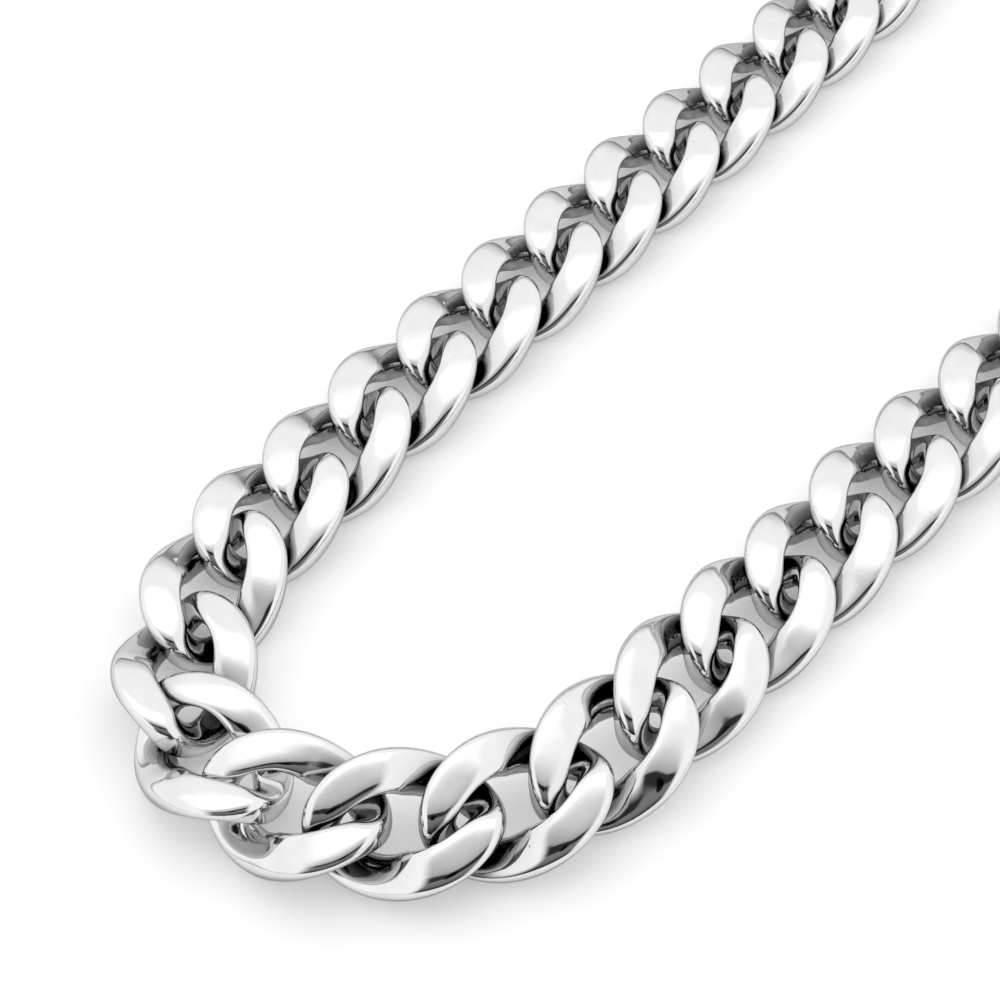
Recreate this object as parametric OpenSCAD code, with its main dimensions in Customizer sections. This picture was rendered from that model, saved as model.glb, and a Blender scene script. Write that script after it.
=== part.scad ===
// A curb chain necklace laid flat in a long closed loop, with its clasp shut at the far end.
// +Z is up and +Y runs along the loop, from the tight near bend to the clasp. Sizes are in mm.

/* [Chain] */

// Length of the closed necklace, measured along the middle of its links and clasp
necklace_l = 610; // [480:5:760]
// Width across one link
link_w = 13; // [10:0.1:15]
// Thickness of a link between the flats that are ground on its two faces
link_t = 4.8; // [4:0.1:5.4]
// Slack between two links that hook into each other, as the chain lies loosely
play = 0.78; // [0.5:0.01:0.9]

/* [Clasp] */

// Length of the clasp from its eye to the end of its hook loop
clasp_l = 26; // [22:0.5:32]
// Width of the clasp's hook loop
clasp_w = 9; // [8:0.5:11]

/* [Hidden] */

// A link is an oval of wire, twisted along its length so that it lies flat in its neighbours, then pressed and
// ground flat
wire_d = 0.23 * link_w;
pitch = 0.757 * link_w;
link_l = pitch + 2 * wire_d + 2 * play;
link_twist = 51;
// How much blunter than an ellipse the oval is
blunt = 0.11;
// Height of the pressed wire, as a share of the round wire's
pressed = 0.86;
// How far the pressed wire spreads into the link's hole, at the tips and at the sides, in half wires
spread_tip = 0.12;
spread_side = 0.75;
// Share of the wire's width that stays flat on top and underneath
flat_share = 0.8;
// Height over which the rise of the wire bends into the dome of its face, and what grinding takes off the dome
bend_h = 0.12 * link_w;
ground = 0.019 * link_w;

// Each loop of wire is drawn with this many sections, with six corners to a section
sections = 16;
corners = 6;

// The round bar of the rings, of the clasp's eye and of its hook loop
bar_d = 0.3 * link_t;
eye_r = 2.3 * bar_d;
// Room between a ring and what it passes round
ring_play = 0.45;
ring_l = wire_d + 3 * bar_d + play + 2 * ring_play;
ring_w = 2 * eye_r + bar_d;
ring_rise = bar_d + ring_play;
closing_z = ring_rise + bar_d / 2;

// From the middle of a joint between two links to the tip of the link's end
tip = (link_l - pitch) / 2;
closing_l = clasp_l + 2 * (tip + play);
ring_at = (clasp_l + play + wire_d - bar_d) / 2;

// Where the near part of the chain passes, in link pitches across and along, from the left strand round the
// bend to the right strand, as it lies on the table
near_route = [
    [-2.4, 13.83], [-2.22, 10.83], [-2.18, 7.83], [-2.12, 4.82], [-2.11, 3.82], [-2, 2.83], [-1.95, 1.84],
    [-1.58, 0.92], [-0.96, 0.16], [0, 0], [0.94, 0.31], [1.67, 0.99], [2.15, 1.89], [2.25, 2.9],
    [2.25, 3.91], [2.26, 4.92], [2.25, 5.92], [2.37, 7.9], [2.45, 9.9]
];
// How the links near the bend lie, one row a link: degrees leaned over to the left, degrees nose down, mm lifted
near_lean = [
    [-3, -3, 0], [-6, -1, 0], [-7, -8, 0.2], [3, -6, 0.3], [14, -6, 0.2], [21, -1, 0], [19, -2, 0.1],
    [20, -2, 0], [20, 5, 0.1], [11, 4, 0], [3, 2, 0], [1, 2, 0], [-3, 0, 0]
];
// The first of those links, counted back from the joint that lies lowest in the bend
lean_before = 4;

// Corner radius of the far end, in pitches
far_r = 4;
// How far the closing piece sits to the right of the lowest near point, in pitches
closing_x = 0.48;

half_far = closing_l / pitch / 2 + far_r;

// Points of the whole route from one end of the closing piece to the other, for a far end at y
function far_corner(side, y, turns) = [
    for (a = turns) [closing_x + side * (half_far - far_r + far_r * sin(a)), y - far_r + far_r * cos(a)]
];
function strand_mid(side, x0, y0, y) = [
    for (s = [0.35, 0.7]) [
        (closing_x + side * half_far) * ease(s) + x0 * (1 - ease(s)), y0 + (y - far_r - y0) * s
    ]
];
function ease(s) = s * s * (3 - 2 * s);
function route(y) = let (first = near_route[0], last = near_route[len(near_route) - 1]) concat(
    far_corner(-1, y, [0, 30, 60, 90]),
    reversed(strand_mid(-1, first[0], first[1], y)),
    near_route,
    strand_mid(1, last[0], last[1], y),
    far_corner(1, y, [90, 60, 30, 0])
);
function reversed(list) = [for (i = [len(list) - 1 : -1 : 0]) list[i]];

// A smooth curve through the points, cut into short straight steps
function tangent(p, i) = let (n = len(p))
    i == 0 ? [-1, 0] :
    i == n - 1 ? [-1, 0] :
    let (d0 = norm(p[i] - p[i - 1]), d1 = norm(p[i + 1] - p[i]))
    ((p[i] - p[i - 1]) / d0 * d1 + (p[i + 1] - p[i]) / d1 * d0) / (d0 + d1);
function curve_at(p, i, s) = let (
    d = norm(p[i + 1] - p[i]), s2 = s * s, s3 = s2 * s
) (2 * s3 - 3 * s2 + 1) * p[i] + (s3 - 2 * s2 + s) * d * tangent(p, i)
    + (3 * s2 - 2 * s3) * p[i + 1] + (s3 - s2) * d * tangent(p, i + 1);
steps = 12;
// A straight run past the end of the route, for a far end that is tried too low
run_out = [-20, 0];
function smooth(p) = [
    for (i = [0 : len(p) - 2]) for (k = [0 : steps - 1]) curve_at(p, i, k / steps),
    p[len(p) - 1], p[len(p) - 1] + run_out
];

// Joints one pitch apart, stepped along the curve
function first_beyond(c, at, i) = i >= len(c) - 1 ? i : norm(c[i] - at) > 1 ? i : first_beyond(c, at, i + 1);
function step_on(a, b, at) = let (
    u = b - a, w = a - at, qa = u * u, qb = 2 * (u * w), qc = w * w - 1
) a + u * (-qb + sqrt(max(qb * qb - 4 * qa * qc, 0))) / (2 * qa);
function walk(c, at, i, left, done) = left == 0 ? done :
    let (j = first_beyond(c, at, i), next = step_on(c[j - 1], c[j], at))
    walk(c, next, j, left - 1, concat(done, [next]));
function joints_for(y) = let (c = smooth(route(y))) walk(c, c[0], 1, link_count, [c[0]]);

// The far end moves up or down, between two rows of pitches, until the last joint meets the closing piece
far_low = 14;
far_high = 60;
halvings = 26;
link_count = round((necklace_l - closing_l) / pitch);
function short_by(y) = joints_for(y)[link_count][0] - closing_x - closing_l / pitch / 2;
function solve_far(lo, hi, turns) = let (mid = (lo + hi) / 2)
    turns == 0 ? mid :
    short_by(mid) < 0 ? solve_far(mid, hi, turns - 1) : solve_far(lo, mid, turns - 1);
far_y = solve_far(far_low, far_high, halvings);
joints = joints_for(far_y);

// Middle line of the wire of a link, and of a ring
function turn_of(i) = i * 360 / sections;
function link_mid(t) = let (
    turn = link_twist * cos(t),
    reach = (link_w - wire_d) / 2 * sin(t) * (1 + blunt * pow(cos(t), 2))
) [(link_l - wire_d) / 2 * cos(t) * (1 + blunt * pow(sin(t), 2)), reach * cos(turn), -reach * sin(turn)];
function ring_mid(t) = [
    (ring_l - bar_d) / 2 * cos(t), (ring_w - bar_d) / 2 * sin(t), -ring_rise * sin(2 * t)
];
function run_at(mids, i) = mids[(i + 1) % sections] - mids[(i + sections - 1) % sections];

// Six corners of an upright section across the wire, whose inner side is spread above and below
function section(mid, run, wire, share, top, low, inner_top, inner_low) = let (
    out = [run[1], -run[0]] / norm([run[0], run[1]]) * wire / 2,
    between = (top + low) / 2
) [
    for (c = [
        [1, between], [share, top], [-share * inner_top, top],
        [-(inner_top + inner_low) / 2, between], [-share * inner_low, low], [share, low]
    ]) [mid[0] + out[0] * c[0], mid[1] + out[1] * c[0], c[1]]
];
function half_tall(run, wire) = wire / 2 * norm(run) / norm([run[0], run[1]]);

// The lesser of value and limit, with a rounded change from one to the other
function soft_least(value, limit) =
    min(value, limit) - bend_h / 4 * pow(max(0, 1 - abs(value - limit) / bend_h), 2);

// How far a link's face stands from its middle, domed and then ground level
function face_of(height) = min(soft_least(height, link_t / 2 + ground), link_t / 2);

link_mids = [for (i = [0 : sections - 1]) link_mid(turn_of(i))];
highest = max([for (m = link_mids) m[2]]);
one_link = [
    for (i = [0 : sections - 1]) let (
        mid = link_mids[i],
        run = run_at(link_mids, i),
        tall = pressed * half_tall(run, wire_d),
        raised = mid[2] / highest,
        side = (spread_side - spread_tip) * (1 - pow(cos(turn_of(i)), 4))
    ) each section(
        mid, run, wire_d, flat_share, face_of(mid[2] + tall), -face_of(tall - mid[2]),
        1 + spread_tip + side * min(1, 1 + raised), 1 + spread_tip + side * min(1, 1 - raised)
    )
];

// A regular six sided bar for the rings
ring_mids = [for (i = [0 : sections - 1]) ring_mid(turn_of(i))];
one_ring = [
    for (i = [0 : sections - 1]) let (
        mid = ring_mids[i], run = run_at(ring_mids, i), tall = half_tall(run, bar_d)
    ) each section(mid, run, bar_d, 0.5, mid[2] + tall, mid[2] - tall, 1, 1)
];
function placed(points, at, way, z) = [
    for (p = points) [
        at[0] + p[0] * way[0] - p[1] * way[1], at[1] + p[0] * way[1] + p[1] * way[0], p[2] + z
    ]
];
function corner(k, i, j) = (k * sections + i % sections) * corners + j % corners;
function loop_faces(count) = [
    for (k = [0 : count - 1]) for (i = [0 : sections - 1]) for (j = [0 : corners - 1]) each [
        [corner(k, i, j), corner(k, i + 1, j + 1), corner(k, i + 1, j)],
        [corner(k, i, j), corner(k, i, j + 1), corner(k, i + 1, j + 1)]
    ]
];

// A link leaned over and lifted, so that its lowest corner is on the table
function leaned(p, lean) = let (
    y = p[1] * cos(lean[0]) - p[2] * sin(lean[0]),
    z = p[1] * sin(lean[0]) + p[2] * cos(lean[0])
) [p[0] * cos(lean[1]) + z * sin(lean[1]), y, z * cos(lean[1]) - p[0] * sin(lean[1])];
lowest = min([for (p = joints) p[1]]);
bend_joint = [for (i = [0 : link_count]) if (joints[i][1] == lowest) i][0];
function lean_of(i) = let (k = i - bend_joint + lean_before) k < 0 || k >= len(near_lean) ? [0, 0, 0] : near_lean[k];
function link_at(i) = let (
    a = joints[i] * pitch,
    b = joints[i + 1] * pitch,
    points = [for (p = one_link) leaned(p, lean_of(i))]
) placed(points, (a + b) / 2, (b - a) / norm(b - a), lean_of(i)[2] - min([for (p = points) p[2]]));

// The origin is the middle of the whole chain's outline on the table
all_points = [for (i = [0 : link_count - 1]) each link_at(i)];
xs = [for (p = all_points) p[0]];
ys = [for (p = all_points) p[1]];
shift = -[(min(xs) + max(xs)) / 2, (min(ys) + max(ys)) / 2, 0];

half_count = ceil(link_count / 2);
module links(from, to) {
    translate(shift)
        polyhedron(
            points = [for (i = [from : to]) each link_at(i)],
            faces = loop_faces(to - from + 1)
        );
}

module end_ring(side) {
    translate(shift)
        polyhedron(
            points = placed(one_ring, [closing_x * pitch + side * ring_at, far_y * pitch], [1, 0], closing_z),
            faces = loop_faces(1)
        );
}

// A round bar bent into half a circle, whose middle points along turn
module half_round(r, turn) {
    rotate([0, 0, turn - 90])
        rotate_extrude(angle = 180)
            translate([r, 0])
                circle(d = bar_d);
}

module bar(length) {
    rotate([0, 90, 0])
        cylinder(d = bar_d, h = length);
}

// Closed lobster clasp in one piece: an eye, a barrel shaped body, and a hook loop with its thumb stub
loop_r = (clasp_w - bar_d) / 2;
body_r = 0.5 * link_t;
body_l = 0.27 * clasp_l;
eye_x = -clasp_l / 2 + eye_r + bar_d / 2;
sunk = 0.3 * bar_d;
thumb_l = 1.2 * bar_d;
body_x = eye_x + eye_r - sunk;
loop_x = body_x + body_l - sunk + loop_r;
loop_end = clasp_l / 2 - loop_r - bar_d / 2;

module clasp() {
    translate(shift + [closing_x * pitch, far_y * pitch, closing_z]) {
        translate([eye_x, 0, 0])
            rotate_extrude()
                translate([eye_r, 0])
                    circle(d = bar_d);
        translate([body_x, 0, 0])
            rotate([0, 90, 0])
                rotate_extrude()
                    polygon([
                        [0, 0], [0.62 * body_r, 0], [0.92 * body_r, 0.3 * body_l], [body_r, 0.55 * body_l],
                        [0.86 * body_r, 0.85 * body_l], [0.6 * body_r, body_l], [0, body_l]
                    ]);
        translate([loop_x, 0, 0])
            half_round(loop_r, 180);
        translate([loop_end, 0, 0])
            half_round(loop_r, 0);
        for (side = [-1, 1])
            translate([loop_x, side * loop_r, 0])
                bar(loop_end - loop_x);
        translate([(loop_x + loop_end) / 2, loop_r, 0])
            rotate([-90, 0, 0])
                cylinder(d = bar_d, h = thumb_l);
    }
}

module chain_left() {
    color([0.82, 0.83, 0.85])
        links(0, half_count - 1);
}

module chain_right() {
    color([0.8, 0.81, 0.83])
        links(half_count, link_count - 1);
}

module end_ring_left() {
    color([0.78, 0.79, 0.81])
        end_ring(-1);
}

module end_ring_right() {
    color([0.78, 0.79, 0.81])
        end_ring(1);
}

module lobster_clasp() {
    color([0.85, 0.85, 0.87])
        clasp();
}

chain_left();
chain_right();
end_ring_left();
end_ring_right();
lobster_clasp();
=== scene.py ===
import math

import bpy
import numpy as np
from mathutils import Euler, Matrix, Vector


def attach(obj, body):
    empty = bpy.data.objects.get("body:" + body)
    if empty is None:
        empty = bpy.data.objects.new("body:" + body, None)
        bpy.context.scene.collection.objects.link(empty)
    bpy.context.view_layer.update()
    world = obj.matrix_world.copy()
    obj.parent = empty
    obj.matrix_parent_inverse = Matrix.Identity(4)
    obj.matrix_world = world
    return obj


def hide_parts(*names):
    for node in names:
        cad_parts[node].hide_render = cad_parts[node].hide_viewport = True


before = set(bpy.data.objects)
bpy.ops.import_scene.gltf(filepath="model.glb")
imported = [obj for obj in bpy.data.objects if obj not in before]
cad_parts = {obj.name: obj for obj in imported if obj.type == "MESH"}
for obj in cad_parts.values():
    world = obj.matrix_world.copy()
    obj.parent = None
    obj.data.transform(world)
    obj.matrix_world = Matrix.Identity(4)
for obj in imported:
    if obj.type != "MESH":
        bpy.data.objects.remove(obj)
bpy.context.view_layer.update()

# The camera, fitted to the photo, in metres and degrees in the part's frame
CAMERA_AT = (0.07588, -0.17542, 0.1686)
CAMERA_HEADING = 43.0
CAMERA_DOWN = 53.06
CAMERA_ROLL = -1.4
CAMERA_LENS_MM = 78.64
CAMERA_SENSOR_MM = 36.0
CAMERA_NEAR_END = 0.005

# A link's wire, and the height over which its rise bends into the dome of its face, as shares of its width
WIRE_SHARE = 0.23
BEND_SHARE = 0.1
LINK_TWIST = math.radians(51)
# How much blunter than an ellipse the link's oval is
BLUNT = 0.11
# Height of the pressed wire, as a share of the round wire's, and how far it spreads into the link's hole
PRESSED = 0.86
SPREAD_AT_TIPS = 0.12
SPREAD_AT_SIDES = 0.75
# 2 gives the wire a round section, and more brings it nearer to a square with round corners
FULLNESS = 3.0
LINK_SECTIONS = 96
LINK_CORNERS = 32

# The round bar of the rings and of the clasp, and how far a ring winds up and down, in metres
BAR = 0.00144
RING_RISE = 0.00189
BAR_SECTIONS = 96
BAR_CORNERS = 24
# The clasp, in metres: its eye, its loop, how deep one part sits in the next, and its thumb stub
EYE_R = 2.3 * BAR
LOOP_WIDE = 0.009
SUNK = 0.3 * BAR
THUMB_LONG = 1.2 * BAR
# Length of the clasp's body as a share of the whole, and width of the body's ends as a share of its middle
BODY_SHARE = 0.27
BODY_END_SHARE = 0.61
# The lower, the fuller the body is between its ends and its middle
BODY_FULLNESS = 0.9
# The higher, the nearer the loop comes to two straight sides and two half circles
LOOP_STRAIGHTNESS = 4
# Sections of a turned solid, how near its first is to the tip, in radians, and the radius of its end's edge
TURNED_SECTIONS = 40
TURNED_START = 0.03
TURNED_EDGE = 0.25 * BAR

# Steps that a closed curve is measured in, and the step that gives its direction, in radians
CURVE_STEPS = 4000
RUN_STEP = 1e-4
# Points of a solid that agree to this many decimals of a metre are one point
SAME_POINT_DECIMALS = 7

# How bright the clean steel is, and the shares of that left by haze and by scuffs
STEEL_TONE = 0.75
HAZY_SHARE = 0.94
SCUFFED_SHARE = 0.92
# Painted shade: how dark the steel's colour is made deep in a crevice, and how far round itself a point looks
# for one, in metres
PAINTED_CREVICE_SHADE = 0.01
CREVICE_REACH = 0.003
# How many times longer than wide the scuffs are, and the way that they run, in radians
SCUFF_STRETCH = 14
SCUFF_WAY = 0.5

# Half the floor's side and its depth under the lowest link, in metres
FLOOR_HALF = 10.0
FLOOR_DROP = 0.00002
# How white the floor is, and how much light it gives off
FLOOR_TONE = 0.9
FLOOR_GLOW = 0.2

# Brightness of the studio by direction, along an arc from the far horizon over the top to the camera's side.
# Each row is the share of the half turn and the brightness.
FAR_TO_NEAR = [
    (0.0, 0.8), (0.06, 1.1), (0.13, 1.45), (0.27, 1.5), (0.3, 1.85), (0.47, 1.8), (0.54, 1.1), (0.61, 0.75),
    (0.64, 0.6), (0.65, 0.04), (0.7, 0.04), (0.72, 0.3), (0.82, 0.26), (0.9, 0.14), (0.96, 0.03), (1.0, 0.01)
]
# The dark camera, and the cosines of the angle from its middle at which the dark is full and at which it ends
CAMERA_DARK = 0.04
DARK_FULL, DARK_END = 0.9955, 0.992
# The bright sides, and the sines of the angle from the arc at which they begin and are full
SIDE_GLOW = 1.5
SIDE_FROM, SIDE_TO = 0.38, 0.6
# The share of the light left at the horizon, and the sines of the height where the dimming is full and ends
HORIZON_GLOW = 0.4
HORIZON_FROM, HORIZON_TO = 0.0, 0.12


def new_piece(name, verts, faces, material, slot, cad_node):
    """A smooth mesh that stands for a solid of the frame."""
    mesh = bpy.data.meshes.new(name)
    mesh.from_pydata([tuple(v) for v in verts], [], [tuple(f) for f in faces])
    mesh.polygons.foreach_set("use_smooth", [True] * len(mesh.polygons))
    mesh.materials.append(material)
    mesh.update()
    piece = bpy.data.objects.new(name, mesh)
    bpy.context.scene.collection.objects.link(piece)
    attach(piece, "root")
    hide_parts(cad_node)
    return piece


def loose_parts(cad_node):
    """The points of each separate solid in a CAD node."""
    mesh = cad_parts[cad_node].data
    points = np.empty(len(mesh.vertices) * 3)
    mesh.vertices.foreach_get("co", points)
    points = points.reshape(-1, 3)
    keys, place = np.unique(np.round(points, SAME_POINT_DECIMALS), axis=0, return_inverse=True)
    place = place.ravel()
    edges = np.array([(place[e.vertices[0]], place[e.vertices[1]]) for e in mesh.edges])
    label = np.arange(len(keys))
    while True:
        low = label.copy()
        np.minimum.at(low, edges[:, 0], label[edges[:, 1]])
        np.minimum.at(low, edges[:, 1], label[edges[:, 0]])
        low = low[low]
        if (low == label).all():
            break
        label = low
    return [keys[label == k] for k in np.unique(label)]


def own_axes(points):
    """A solid's middle and its own long, wide and upright directions."""
    middle = points.mean(axis=0)
    _, ways = np.linalg.eigh(np.cov((points - middle).T))
    long_way, wide_way = ways[:, 2], ways[:, 1]
    up = np.cross(long_way, wide_way)
    if up[2] < 0:
        wide_way, up = -wide_way, -up
    return middle, np.stack([long_way, wide_way, up])


def ring_faces(count, corners):
    """Four sided faces of a closed tube of count sections."""
    return [
        (i * corners + j, (i + 1) % count * corners + j,
         (i + 1) % count * corners + (j + 1) % corners, i * corners + (j + 1) % corners)
        for i in range(count) for j in range(corners)
    ]


def even_steps(curve, count):
    """Values of t that cut a closed curve into equal lengths."""
    t = np.linspace(0, 2 * np.pi, CURVE_STEPS + 1)
    points = curve(t)
    length = np.concatenate([[0], np.cumsum(np.linalg.norm(np.diff(points, axis=0), axis=1))])
    return np.interp(np.arange(count) / count * length[-1], length, t)


def soft_least(value, limit, reach):
    """The lesser of value and limit, with a rounded change from one to the other."""
    nearness = np.maximum(0, 1 - np.abs(value - limit) / reach)
    return np.minimum(value, limit) - reach / 4 * nearness ** 2


def fuller(value):
    """A sine or cosine changed so that a circle becomes a square with round corners."""
    return np.sign(value) * np.abs(value) ** (2 / FULLNESS)


def link_shape(length, width, thick):
    """Points of one link: a blunt oval of wire, twisted along its length and pressed flat on both faces."""
    wire = WIRE_SHARE * width
    half_l = (length - wire) / 2
    half_w = (width - wire) / 2
    bend = BEND_SHARE * width

    def middle(t):
        turn = LINK_TWIST * np.cos(t)
        reach = half_w * np.sin(t) * (1 + BLUNT * np.cos(t) ** 2)
        return np.stack([
            half_l * np.cos(t) * (1 + BLUNT * np.sin(t) ** 2), reach * np.cos(turn), -reach * np.sin(turn)
        ], axis=1)

    t = even_steps(middle, LINK_SECTIONS)
    mids = middle(t)
    runs = middle(t + RUN_STEP) - middle(t - RUN_STEP)
    flat_runs = np.linalg.norm(runs[:, :2], axis=1)
    tall = PRESSED * wire / 2 * np.linalg.norm(runs, axis=1) / flat_runs
    top = soft_least(mids[:, 2] + tall, thick / 2, bend)
    low = -soft_least(tall - mids[:, 2], thick / 2, bend)
    raised = mids[:, 2] / np.abs(mids[:, 2]).max()
    side = (SPREAD_AT_SIDES - SPREAD_AT_TIPS) * (1 - np.cos(t) ** 4)
    inner_top = 1 + SPREAD_AT_TIPS + side * np.minimum(1, 1 + raised)
    inner_low = 1 + SPREAD_AT_TIPS + side * np.minimum(1, 1 - raised)

    u = np.arange(LINK_CORNERS) / LINK_CORNERS * 2 * np.pi
    across, upward = fuller(np.cos(u)), fuller(np.sin(u))
    points = []
    for i, mid in enumerate(mids):
        out = np.array([runs[i, 1], -runs[i, 0], 0]) / flat_runs[i] * wire / 2
        inner = inner_low[i] + (inner_top[i] - inner_low[i]) * (upward + 1) / 2
        place = mid + out * np.where(across < 0, across * inner, across)[:, None]
        place[:, 2] = (top[i] + low[i]) / 2 + (top[i] - low[i]) / 2 * upward
        points.append(place)
    return np.concatenate(points)


def chain_piece(name, cad_node, material, slot):
    """Every link of a chain node, drawn in detail where its solid lies."""
    verts, faces = [], []
    parts = [own_axes(points) + (points,) for points in loose_parts(cad_node)]
    sizes = [np.ptp((points - middle) @ axes.T, axis=0) for middle, axes, points in parts]
    length, width, thick = np.median(sizes, axis=0)
    shape = link_shape(length, width, thick)
    link_faces = ring_faces(LINK_SECTIONS, LINK_CORNERS)
    for middle, axes, _ in parts:
        start = len(verts) * len(shape)
        verts.append(shape @ axes + middle)
        faces += [tuple(start + c for c in f) for f in link_faces]
    return new_piece(name, np.concatenate(verts), faces, material, slot, cad_node)


def round_bar(curve):
    """Points and faces of a round bar that follows a closed curve."""
    t = even_steps(curve, BAR_SECTIONS)
    mids = curve(t)
    runs = curve(t + RUN_STEP) - curve(t - RUN_STEP)
    runs /= np.linalg.norm(runs, axis=1)[:, None]
    side = np.cross(runs, [0, 0, 1])
    side /= np.linalg.norm(side, axis=1)[:, None]
    up = np.cross(side, runs)
    u = np.arange(BAR_CORNERS) / BAR_CORNERS * 2 * np.pi
    rows = [
        mid + BAR / 2 * (np.cos(u)[:, None] * s + np.sin(u)[:, None] * w) for mid, s, w in zip(mids, side, up)
    ]
    return np.concatenate(rows), ring_faces(BAR_SECTIONS, BAR_CORNERS)


def turned(start, way, length, radius_at):
    """Points and faces of a solid turned about a straight line, with rounded ends."""
    s = (1 - np.cos(np.linspace(TURNED_START, np.pi - TURNED_START, TURNED_SECTIONS))) / 2
    ends = np.sqrt(1 - np.maximum(0, 1 - np.minimum(s, 1 - s) * length / TURNED_EDGE) ** 2)
    way = np.array(way, float)
    side = np.cross(way, [0, 0, 1.0])
    up = np.cross(side, way)
    u = np.arange(BAR_CORNERS) / BAR_CORNERS * 2 * np.pi
    ring = np.cos(u)[:, None] * side + np.sin(u)[:, None] * up
    rows = [start + way * length * at + ring * radius_at(at) * end for at, end in zip(s, ends)]
    faces = ring_faces(len(s), BAR_CORNERS)[:-BAR_CORNERS]
    last = (len(s) - 1) * BAR_CORNERS
    faces += [tuple(range(BAR_CORNERS)), tuple(last + j for j in reversed(range(BAR_CORNERS)))]
    return np.concatenate(rows), faces


def joined(parts):
    """One list of points and one of faces from several."""
    verts, faces, start = [], [], 0
    for points, part_faces in parts:
        verts.append(points)
        faces += [tuple(start + c for c in face) for face in part_faces]
        start += len(points)
    return np.concatenate(verts), faces


def node_box(cad_node):
    """The lowest and the highest corner of a CAD node."""
    points = np.concatenate(loose_parts(cad_node))
    return points.min(axis=0), points.max(axis=0)


def ring_piece(name, cad_node, material, slot):
    """A small connecting ring, wound so that its two ends lie level through their neighbours."""
    low, high = node_box(cad_node)
    half = (high - low - BAR) / 2

    def curve(t):
        return (low + high) / 2 + np.stack(
            [half[0] * np.cos(t), half[1] * np.sin(t), -RING_RISE * np.sin(2 * t)], axis=1
        )

    return new_piece(name, *round_bar(curve), material, slot, cad_node)


def clasp_piece(name, cad_node, material, slot):
    """The closed clasp: an eye, a barrel shaped body, and a hook loop with its thumb stub."""
    low, high = node_box(cad_node)
    mid_y, mid_z = low[1] + LOOP_WIDE / 2, (low[2] + high[2]) / 2
    loop_r = (LOOP_WIDE - BAR) / 2
    body_long = BODY_SHARE * (high[0] - low[0])
    eye_x = low[0] + EYE_R + BAR / 2
    body_x = eye_x + EYE_R - SUNK
    loop_x = body_x + body_long - SUNK + loop_r
    loop_end = high[0] - loop_r - BAR / 2

    def eye(t):
        return np.stack([
            eye_x + EYE_R * np.cos(t), mid_y + EYE_R * np.sin(t), np.full_like(t, mid_z),
        ], axis=1)

    def loop(t):
        straight = np.clip(LOOP_STRAIGHTNESS * np.cos(t), -1, 1) * (loop_end - loop_x) / 2
        return np.stack([
            (loop_x + loop_end) / 2 + straight + loop_r * np.cos(t), mid_y + loop_r * np.sin(t),
            np.full_like(t, mid_z),
        ], axis=1)

    def barrel(at):
        swell = (1 - BODY_END_SHARE) * np.sin(np.pi * at) ** BODY_FULLNESS
        return (high[2] - low[2]) / 2 * (BODY_END_SHARE + swell)

    body = turned(np.array([body_x, mid_y, mid_z]), (1, 0, 0), body_long, barrel)
    thumb = turned(
        np.array([(loop_x + loop_end) / 2, mid_y + loop_r, mid_z]), (0, 1, 0), THUMB_LONG, lambda at: BAR / 2
    )
    verts, faces = joined([round_bar(eye), round_bar(loop), body, thumb])
    return new_piece(name, verts, faces, material, slot, cad_node)


def shader_node(tree, kind, **inputs):
    """A shader node with its inputs set, or linked where a socket is given."""
    made = tree.nodes.new(kind)
    for name, value in inputs.items():
        socket = made.inputs[name.replace("_", " ")]
        if isinstance(value, bpy.types.NodeSocket):
            tree.links.new(value, socket)
        else:
            socket.default_value = value
    return made


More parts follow.
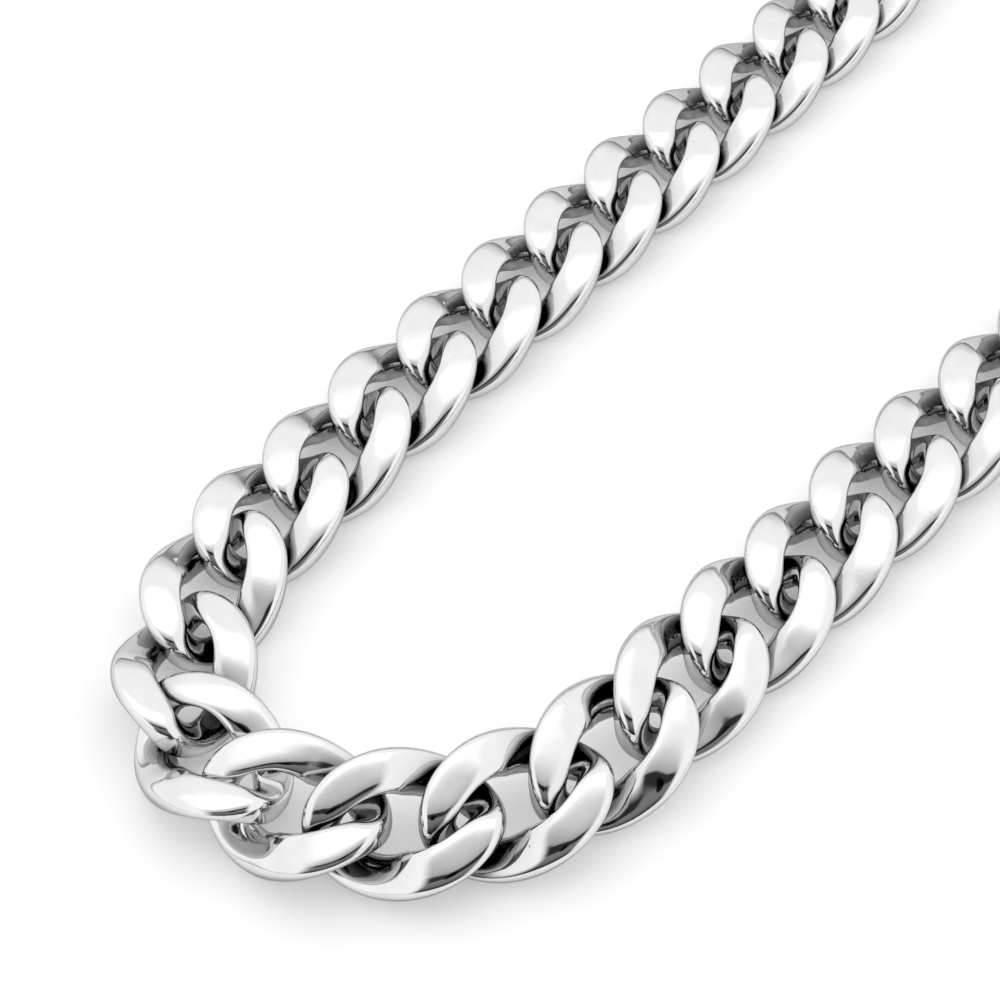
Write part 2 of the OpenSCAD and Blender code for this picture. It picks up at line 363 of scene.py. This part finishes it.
def polished_steel(name):
    """Mirror polished stainless steel, with faint ripple, haze, scuffs and pinholes, and shade painted into
    its colour in its crevices.
    """
    material = bpy.data.materials.new(name)
    material.use_nodes = True
    tree = material.node_tree
    tree.nodes.clear()
    where = tree.nodes.new("ShaderNodeTexCoord").outputs["Object"]
    ripple = shader_node(tree, "ShaderNodeTexNoise", Vector=where, Scale=210.0, Detail=1.0, Roughness=0.35)
    ripple_bump = shader_node(
        tree, "ShaderNodeBump", Height=ripple.outputs["Fac"], Strength=0.04, Distance=0.001
    )
    specks = shader_node(tree, "ShaderNodeTexVoronoi", Vector=where, Scale=330.0)
    pits = shader_node(
        tree, "ShaderNodeMapRange", Value=specks.outputs["Distance"], From_Min=0.02, From_Max=0.05,
        To_Min=0.0, To_Max=1.0,
    )
    pit_bump = shader_node(
        tree, "ShaderNodeBump", Height=pits.outputs["Result"], Strength=0.25, Distance=0.0001,
        Normal=ripple_bump.outputs["Normal"],
    )
    haze = shader_node(tree, "ShaderNodeTexNoise", Vector=where, Scale=420.0, Detail=3.0)
    rough = shader_node(
        tree, "ShaderNodeMapRange", Value=haze.outputs["Fac"], From_Min=0.35, From_Max=0.75, To_Min=0.03,
        To_Max=0.09,
    )
    clean = shader_node(
        tree, "ShaderNodeMapRange", Value=haze.outputs["Fac"], From_Min=0.35, From_Max=0.7,
        To_Min=STEEL_TONE, To_Max=HAZY_SHARE * STEEL_TONE,
    )
    strokes = shader_node(
        tree, "ShaderNodeMapping", Vector=where, Rotation=(0, 0, SCUFF_WAY), Scale=(1, SCUFF_STRETCH, 1)
    )
    scuffs = shader_node(
        tree, "ShaderNodeTexNoise", Vector=strokes.outputs["Vector"], Scale=420.0, Detail=2.0, Distortion=0.6
    )
    scuffed = shader_node(
        tree, "ShaderNodeMapRange", Value=scuffs.outputs["Fac"], From_Min=0.64, From_Max=0.72,
        To_Min=clean.outputs["Result"], To_Max=SCUFFED_SHARE * STEEL_TONE,
    )
    # Painted shade: where the chain's own links close in round a point, the steel's colour is darkened to
    # stand for the shade that falls in the crevices
    painted_shade_mask = shader_node(tree, "ShaderNodeAmbientOcclusion", Distance=CREVICE_REACH)
    painted_shade_mask.only_local = True
    painted_shade_mask.samples = 4
    painted_shade = shader_node(
        tree, "ShaderNodeMapRange", Value=painted_shade_mask.outputs["AO"], From_Min=0.15, From_Max=0.85,
        To_Min=PAINTED_CREVICE_SHADE, To_Max=scuffed.outputs["Result"],
    )
    shader = shader_node(
        tree, "ShaderNodeBsdfPrincipled", Metallic=1.0, Base_Color=painted_shade.outputs["Result"],
        Specular_Tint=(0.5, 0.5, 0.5, 1), Roughness=rough.outputs["Result"],
        Normal=pit_bump.outputs["Normal"],
    )
    out = tree.nodes.new("ShaderNodeOutputMaterial")
    tree.links.new(shader.outputs["BSDF"], out.inputs["Surface"])
    return material


def pale_floor_material():
    """A matt white that gives off a little light, as burnt out as the photo's surface."""
    material = bpy.data.materials.new("pale_floor")
    material.use_nodes = True
    shader = material.node_tree.nodes["Principled BSDF"]
    shader.inputs["Base Color"].default_value = (FLOOR_TONE, FLOOR_TONE, FLOOR_TONE, 1)
    shader.inputs["Emission Color"].default_value = (1, 1, 1, 1)
    shader.inputs["Emission Strength"].default_value = FLOOR_GLOW
    shader.inputs["Roughness"].default_value = 0.7
    shader.inputs["Specular IOR Level"].default_value = 0.2
    return material


def pale_floor(material):
    """The table top, which isn't part of the necklace."""
    mesh = bpy.data.meshes.new("floor")
    s = FLOOR_HALF
    mesh.from_pydata([(-s, -s, 0), (s, -s, 0), (s, s, 0), (-s, s, 0)], [], [(0, 1, 2, 3)])
    mesh.materials.append(material)
    floor = bpy.data.objects.new("floor", mesh)
    floor.location.z = -FLOOR_DROP
    bpy.context.scene.collection.objects.link(floor)


def studio():
    """A soft white tent round the table, with the dark of the room at its rim and round the camera."""
    world = bpy.data.worlds.new("studio")
    bpy.context.scene.world = world
    world.use_nodes = True
    tree = world.node_tree
    tree.nodes.clear()
    way = tree.nodes.new("ShaderNodeTexCoord").outputs["Generated"]
    heading = math.radians(CAMERA_HEADING)

    def along(direction):
        """How far the view goes along a direction of length one."""
        dot = tree.nodes.new("ShaderNodeVectorMath")
        dot.operation = "DOT_PRODUCT"
        tree.links.new(way, dot.inputs[0])
        dot.inputs[1].default_value = direction
        return dot.outputs["Value"]

    def maths(operation, *values):
        """The result of an operation on sockets and numbers."""
        made = tree.nodes.new("ShaderNodeMath")
        made.operation = operation
        for socket, value in zip(made.inputs, values):
            if isinstance(value, bpy.types.NodeSocket):
                tree.links.new(value, socket)
            else:
                socket.default_value = value
        return made.outputs["Value"]

    def change(value, start, end, low, high):
        """Goes smoothly from low to high as value, a socket, goes from start to end."""
        made = shader_node(
            tree, "ShaderNodeMapRange", Value=value, From_Min=start, From_Max=end, To_Min=low, To_Max=high
        )
        made.interpolation_type = "SMOOTHSTEP"
        return made.outputs["Result"]

    up = along((0.0, 0.0, 1.0))
    far = along((-math.sin(heading), math.cos(heading), 0.0))
    side = maths("ABSOLUTE", along((math.cos(heading), math.sin(heading), 0.0)))
    ramp = tree.nodes.new("ShaderNodeValToRGB")
    stops = ramp.color_ramp.elements
    while len(stops) < len(FAR_TO_NEAR):
        stops.new(0.5)
    for stop, (at, bright) in zip(stops, FAR_TO_NEAR):
        stop.position = at
        stop.color = (bright, bright, bright, 1)
    tree.links.new(maths("DIVIDE", maths("ARCTAN2", up, far), math.pi), ramp.inputs["Fac"])
    arc = maths("MULTIPLY", ramp.outputs["Color"], change(side, SIDE_FROM, SIDE_TO, 1.0, 0.0))
    glow = change(side, SIDE_FROM, SIDE_TO, 0.0, SIDE_GLOW)
    rim = change(up, HORIZON_FROM, HORIZON_TO, HORIZON_GLOW, 1.0)
    down = math.radians(CAMERA_DOWN)
    to_camera = along((
        math.sin(heading) * math.cos(down), -math.cos(heading) * math.cos(down), math.sin(down)
    ))
    hidden = change(to_camera, DARK_END, DARK_FULL, 1.0, CAMERA_DARK)
    bright = maths("MULTIPLY", maths("ADD", arc, glow), maths("MULTIPLY", rim, hidden))
    back = shader_node(tree, "ShaderNodeBackground", Strength=bright)
    out = tree.nodes.new("ShaderNodeOutputWorld")
    tree.links.new(back.outputs["Background"], out.inputs["Surface"])


def camera():
    """The photo's camera."""
    data = bpy.data.cameras.new("camera")
    data.lens = CAMERA_LENS_MM
    data.sensor_width = CAMERA_SENSOR_MM
    data.clip_start = CAMERA_NEAR_END
    made = bpy.data.objects.new("camera", data)
    bpy.context.scene.collection.objects.link(made)
    turn = Euler((math.radians(90 - CAMERA_DOWN), 0, math.radians(CAMERA_HEADING)), "XYZ").to_matrix()
    roll = Euler((0, 0, math.radians(CAMERA_ROLL)), "XYZ").to_matrix()
    made.matrix_world = (turn @ roll).to_4x4()
    made.location = Vector(CAMERA_AT)
    bpy.context.scene.camera = made


steel = polished_steel("polished_steel")
chain_piece("left_links", "chain_left", steel, "chain_steel")
chain_piece("right_links", "chain_right", steel, "chain_steel")
ring_piece("left_ring", "end_ring_left", steel, "ring_steel")
ring_piece("right_ring", "end_ring_right", steel, "ring_steel")
clasp_piece("closed_clasp", "lobster_clasp", steel, "clasp_steel")
pale_floor(pale_floor_material())
studio()
camera()
bpy.context.scene.view_settings.view_transform = "Standard"
